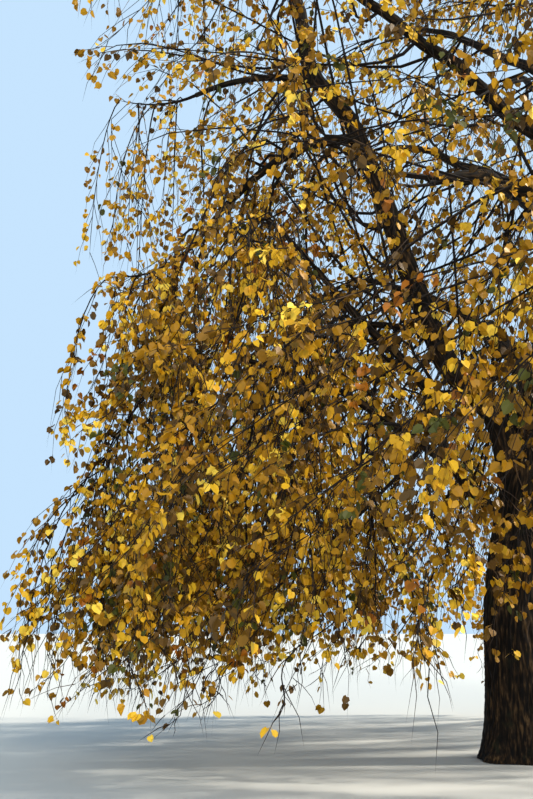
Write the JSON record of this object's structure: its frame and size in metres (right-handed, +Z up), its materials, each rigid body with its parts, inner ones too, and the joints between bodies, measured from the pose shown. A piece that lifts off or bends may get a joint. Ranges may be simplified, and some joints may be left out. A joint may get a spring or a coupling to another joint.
{
  "type": "weeping silver lime tree",
  "caption": "Large weeping broadleaf tree in autumn: thick leaning trunk with root flare, arching boughs and hanging masses of twigs with golden heart-shaped leaves.",
  "frame": {"origin": "middle of the trunk's flat cut at ground level", "axes": "+Z up, +X to the right of the picture's view, +Y to the back, away from the viewer; the trunk leans towards +X"},
  "size_m": [13.2599, 13.2812, 14.6664],
  "materials": {
    "bark": "matt, finely ridged",
    "leaves": "matt autumn gold"
  },
  "bodies": {
    "root": {"bough_front_left": "bark", "bough_left_arch": "bark", "bough_left_fork": "bark", "bough_left_inner": "bark", "bough_left_leader": "bark", "bough_left_low": "bark", "bough_left_spread": "bark", "bough_low_back": "bark", "bough_low_back_left": "bark", "bough_low_back_right": "bark", "bough_low_front": "bark", "bough_low_front_right": "bark", "bough_low_right": "bark", "bough_middle_back": "bark", "bough_middle_back_left": "bark", "bough_middle_back_right": "bark", "bough_middle_front": "bark", "bough_middle_front_right": "bark", "bough_middle_right": "bark", "bough_top_back": "bark", "bough_top_front": "bark", "bough_top_right": "bark", "bough_upper_back": "bark", "bough_upper_back_left": "bark", "bough_upper_back_right": "bark", "bough_upper_front": "bark", "bough_upper_left": "bark", "bough_upper_right": "bark", "trunk": "bark", "foliage_crest": "leaves", "foliage_inner_left": "leaves", "foliage_low_back": "leaves", "foliage_low_back_left": "leaves", "foliage_low_back_right": "leaves", "foliage_low_front": "leaves", "foliage_low_front_left": "leaves", "foliage_low_front_right": "leaves", "foliage_low_left": "leaves", "foliage_low_right": "leaves", "foliage_middle_back": "leaves", "foliage_middle_back_left": "leaves", "foliage_middle_back_right": "leaves", "foliage_middle_front": "leaves", "foliage_middle_front_left": "leaves", "foliage_middle_front_right": "leaves", "foliage_middle_left": "leaves", "foliage_middle_right": "leaves", "foliage_top_back": "leaves", "foliage_top_front": "leaves", "foliage_top_left": "leaves", "foliage_top_right": "leaves", "foliage_upper_back": "leaves", "foliage_upper_back_left": "leaves", "foliage_upper_back_right": "leaves", "foliage_upper_front": "leaves", "foliage_upper_front_left": "leaves", "foliage_upper_left": "leaves", "foliage_upper_right": "leaves"}
  },
  "joints": []
}
